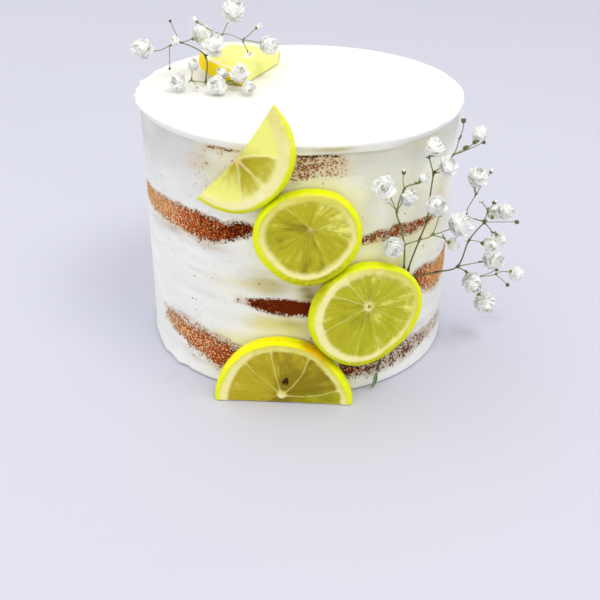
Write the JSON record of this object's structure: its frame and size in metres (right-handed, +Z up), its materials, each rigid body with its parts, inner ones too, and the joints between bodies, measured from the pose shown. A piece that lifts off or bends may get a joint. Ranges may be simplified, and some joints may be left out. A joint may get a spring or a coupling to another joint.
{
  "type": "naked layer cake",
  "caption": "Round naked layer cake with a thin scraped icing coat, lemon slices climbing its front and sprigs of small white flowers",
  "frame": {"origin": "centre of the cake's underside, on the surface it rests on", "axes": "+Z is up. The front of the cake, where the lemon slices climb, faces -Y, and +X is to the right when looking at the front"},
  "size_m": [0.1974, 0.1677, 0.1606],
  "materials": {
    "sponge": "open red-brown cake crumb, matte",
    "filling": "white cream, satin",
    "icing": "scraped white buttercream, satin",
    "lemon": "wet cut lemon, yellow rind",
    "sprig": "white petals on thin green stems",
    "leaf": "dark green narrow leaf"
  },
  "bodies": {
    "root": {"sponge_1": "sponge", "sponge_2": "sponge", "sponge_3": "sponge", "sponge_4": "sponge", "filling_1": "filling", "filling_2": "filling", "filling_3": "filling", "icing_top": "icing", "icing_side": "icing", "lemon_half_upper": "lemon", "lemon_wheel_upper": "lemon", "lemon_wheel_lower": "lemon", "lemon_half_base": "lemon", "lemon_top": "lemon", "sprig_tall": "sprig", "sprig_inner": "sprig", "sprig_outer": "sprig", "sprig_top": "sprig", "sprig_front": "sprig", "leaf_foot": "leaf"}
  },
  "joints": []
}
